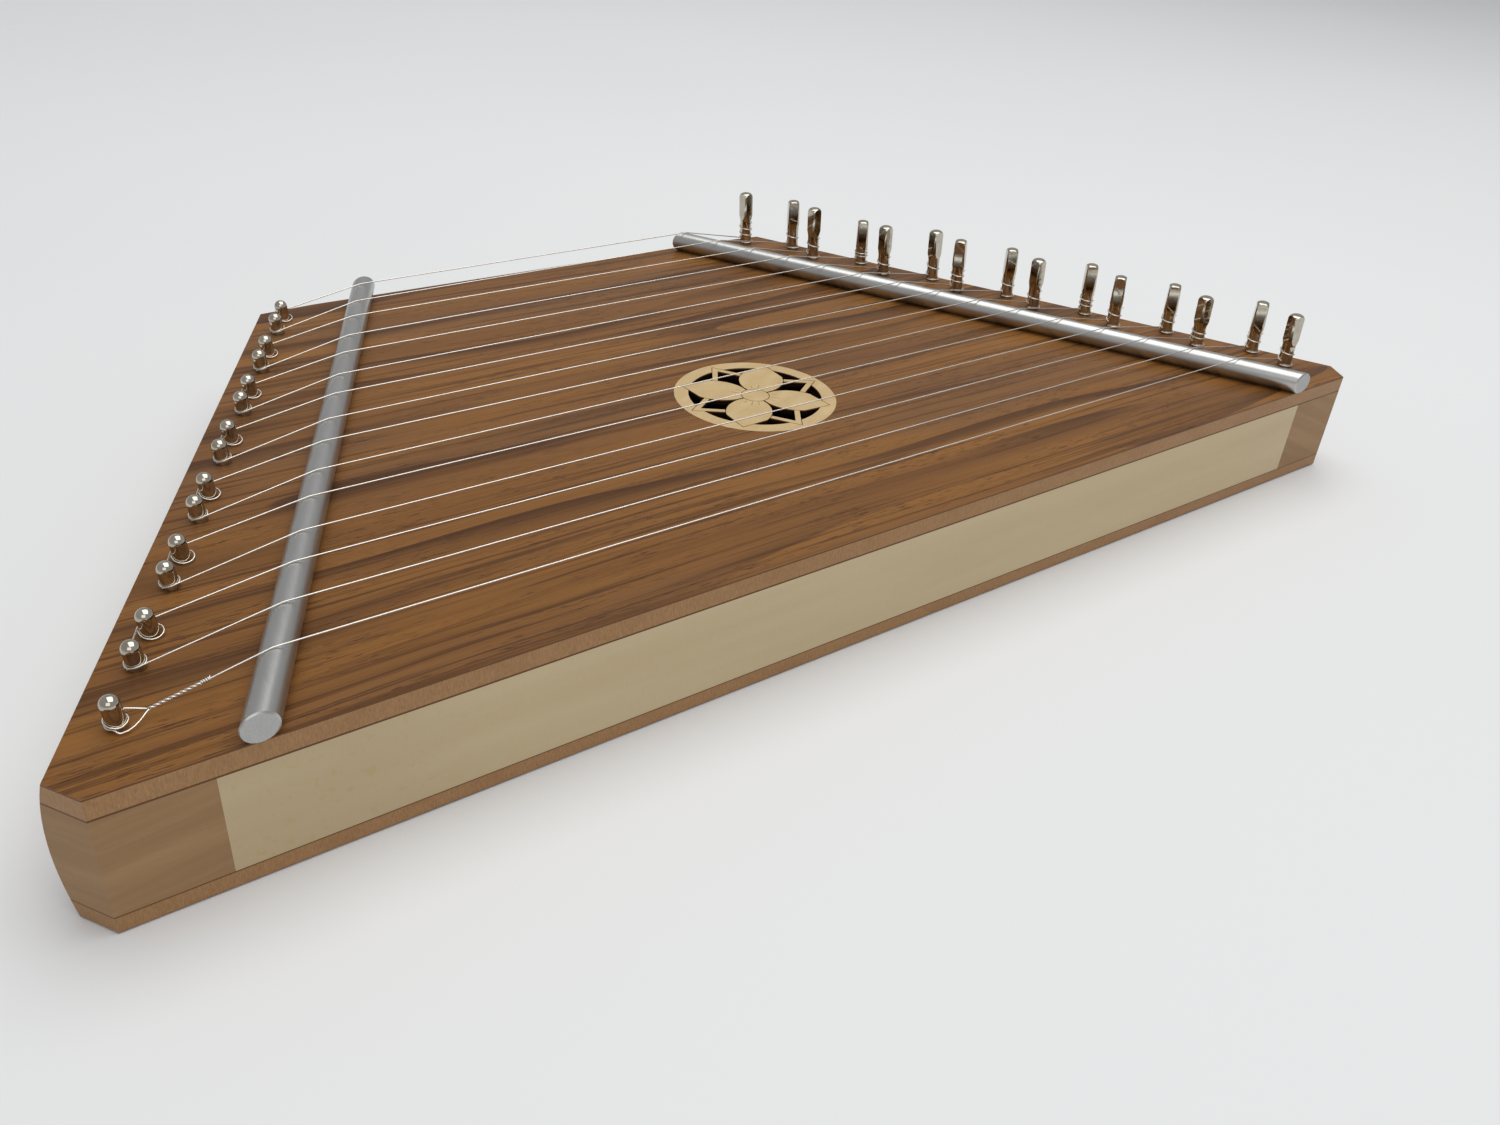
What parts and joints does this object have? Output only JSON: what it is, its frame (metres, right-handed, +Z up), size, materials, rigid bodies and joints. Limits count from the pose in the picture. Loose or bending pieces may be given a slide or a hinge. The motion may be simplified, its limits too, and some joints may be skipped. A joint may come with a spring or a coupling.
{
  "type": "lap zither",
  "caption": "Trapezoid lap zither: walnut-faced soundbox with a pierced rosette, round bridge rods, steel strings on hitch pins, and squared tuning pins that turn.",
  "frame": {"origin": "middle of the flat underside, half way between the front and back faces", "axes": "+X to the player's right along the long front edge, towards the tuning pins; +Y from the long front edge to the short back edge; +Z up, out of the soundboard"},
  "size_m": [0.4608, 0.2366, 0.0607],
  "materials": {
    "walnut_veneer": "satin lacquer, dark streaks along X, pale ply at the edges",
    "pin_block_wood": "satin lacquer over laminated hardwood end grain",
    "rail_maple": "satin lacquer",
    "brace_spruce": "bare planed",
    "rosette_birch": "matt, laser-cut edges darkened brown",
    "rod_aluminium": "satin",
    "pin_nickel": "polished nickel plate",
    "string_steel": "bright plain wire"
  },
  "bodies": {
    "soundbox": {"soundboard": "walnut_veneer", "back_panel": "walnut_veneer", "hitch_pin_block": "pin_block_wood", "tuning_pin_block": "pin_block_wood", "front_rail": "rail_maple", "back_rail": "rail_maple", "soundboard_brace_1": "brace_spruce", "soundboard_brace_2": "brace_spruce", "back_brace": "brace_spruce", "rosette": "rosette_birch", "bridge_rod_left": "rod_aluminium", "bridge_rod_right": "rod_aluminium", "hitch_pins": "pin_nickel", "string_01": "string_steel", "string_02_03": "string_steel", "string_04_05": "string_steel", "string_06_07": "string_steel", "string_08_09": "string_steel", "string_10_11": "string_steel", "string_12_13": "string_steel", "string_14_15": "string_steel"},
    "tuning_pin_01": {"tuning_pin_01": "pin_nickel", "string_coil_01": "string_steel"},
    "tuning_pin_02": {"tuning_pin_02": "pin_nickel", "string_coil_02": "string_steel"},
    "tuning_pin_03": {"tuning_pin_03": "pin_nickel", "string_coil_03": "string_steel"},
    "tuning_pin_04": {"tuning_pin_04": "pin_nickel", "string_coil_04": "string_steel"},
    "tuning_pin_05": {"tuning_pin_05": "pin_nickel", "string_coil_05": "string_steel"},
    "tuning_pin_06": {"tuning_pin_06": "pin_nickel", "string_coil_06": "string_steel"},
    "tuning_pin_07": {"tuning_pin_07": "pin_nickel", "string_coil_07": "string_steel"},
    "tuning_pin_08": {"tuning_pin_08": "pin_nickel", "string_coil_08": "string_steel"},
    "tuning_pin_09": {"tuning_pin_09": "pin_nickel", "string_coil_09": "string_steel"},
    "tuning_pin_10": {"tuning_pin_10": "pin_nickel", "string_coil_10": "string_steel"},
    "tuning_pin_11": {"tuning_pin_11": "pin_nickel", "string_coil_11": "string_steel"},
    "tuning_pin_12": {"tuning_pin_12": "pin_nickel", "string_coil_12": "string_steel"},
    "tuning_pin_13": {"tuning_pin_13": "pin_nickel", "string_coil_13": "string_steel"},
    "tuning_pin_14": {"tuning_pin_14": "pin_nickel", "string_coil_14": "string_steel"},
    "tuning_pin_15": {"tuning_pin_15": "pin_nickel", "string_coil_15": "string_steel"}
  },
  "joints": [
    {"name": "tuning_pin_01_turn", "type": "hinge", "parent": "soundbox", "child": "tuning_pin_01", "pos_m": [0.21111, -0.0989, 0.038], "axis": [0.0698, 0, -0.9976], "range_deg": [-180, 90]},
    {"name": "tuning_pin_02_turn", "type": "hinge", "parent": "soundbox", "child": "tuning_pin_02", "pos_m": [0.21111, -0.0839, 0.038], "axis": [0.0698, 0, -0.9976], "range_deg": [-180, 90]},
    {"name": "tuning_pin_03_turn", "type": "hinge", "parent": "soundbox", "child": "tuning_pin_03", "pos_m": [0.19571, -0.0689, 0.038], "axis": [0.0698, 0, -0.9976], "range_deg": [-180, 90]},
    {"name": "tuning_pin_04_turn", "type": "hinge", "parent": "soundbox", "child": "tuning_pin_04", "pos_m": [0.19571, -0.0539, 0.038], "axis": [0.0698, 0, -0.9976], "range_deg": [-180, 90]},
    {"name": "tuning_pin_05_turn", "type": "hinge", "parent": "soundbox", "child": "tuning_pin_05", "pos_m": [0.18031, -0.0389, 0.038], "axis": [0.0698, 0, -0.9976], "range_deg": [-180, 90]},
    {"name": "tuning_pin_06_turn", "type": "hinge", "parent": "soundbox", "child": "tuning_pin_06", "pos_m": [0.18031, -0.0239, 0.038], "axis": [0.0698, 0, -0.9976], "range_deg": [-180, 90]},
    {"name": "tuning_pin_07_turn", "type": "hinge", "parent": "soundbox", "child": "tuning_pin_07", "pos_m": [0.16492, -0.0089, 0.038], "axis": [0.0698, 0, -0.9976], "range_deg": [-180, 90]},
    {"name": "tuning_pin_08_turn", "type": "hinge", "parent": "soundbox", "child": "tuning_pin_08", "pos_m": [0.16492, 0.0061, 0.038], "axis": [0.0698, 0, -0.9976], "range_deg": [-180, 90]},
    {"name": "tuning_pin_09_turn", "type": "hinge", "parent": "soundbox", "child": "tuning_pin_09", "pos_m": [0.14952, 0.0211, 0.038], "axis": [0.0698, 0, -0.9976], "range_deg": [-180, 90]},
    {"name": "tuning_pin_10_turn", "type": "hinge", "parent": "soundbox", "child": "tuning_pin_10", "pos_m": [0.14952, 0.0361, 0.038], "axis": [0.0698, 0, -0.9976], "range_deg": [-180, 90]},
    {"name": "tuning_pin_11_turn", "type": "hinge", "parent": "soundbox", "child": "tuning_pin_11", "pos_m": [0.13413, 0.0511, 0.038], "axis": [0.0698, 0, -0.9976], "range_deg": [-180, 90]},
    {"name": "tuning_pin_12_turn", "type": "hinge", "parent": "soundbox", "child": "tuning_pin_12", "pos_m": [0.13413, 0.0661, 0.038], "axis": [0.0698, 0, -0.9976], "range_deg": [-180, 90]},
    {"name": "tuning_pin_13_turn", "type": "hinge", "parent": "soundbox", "child": "tuning_pin_13", "pos_m": [0.11873, 0.0811, 0.038], "axis": [0.0698, 0, -0.9976], "range_deg": [-180, 90]},
    {"name": "tuning_pin_14_turn", "type": "hinge", "parent": "soundbox", "child": "tuning_pin_14", "pos_m": [0.11873, 0.0961, 0.038], "axis": [0.0698, 0, -0.9976], "range_deg": [-180, 90]},
    {"name": "tuning_pin_15_turn", "type": "hinge", "parent": "soundbox", "child": "tuning_pin_15", "pos_m": [0.10333, 0.1111, 0.038], "axis": [0.0698, 0, -0.9976], "range_deg": [-180, 90]}
  ]
}
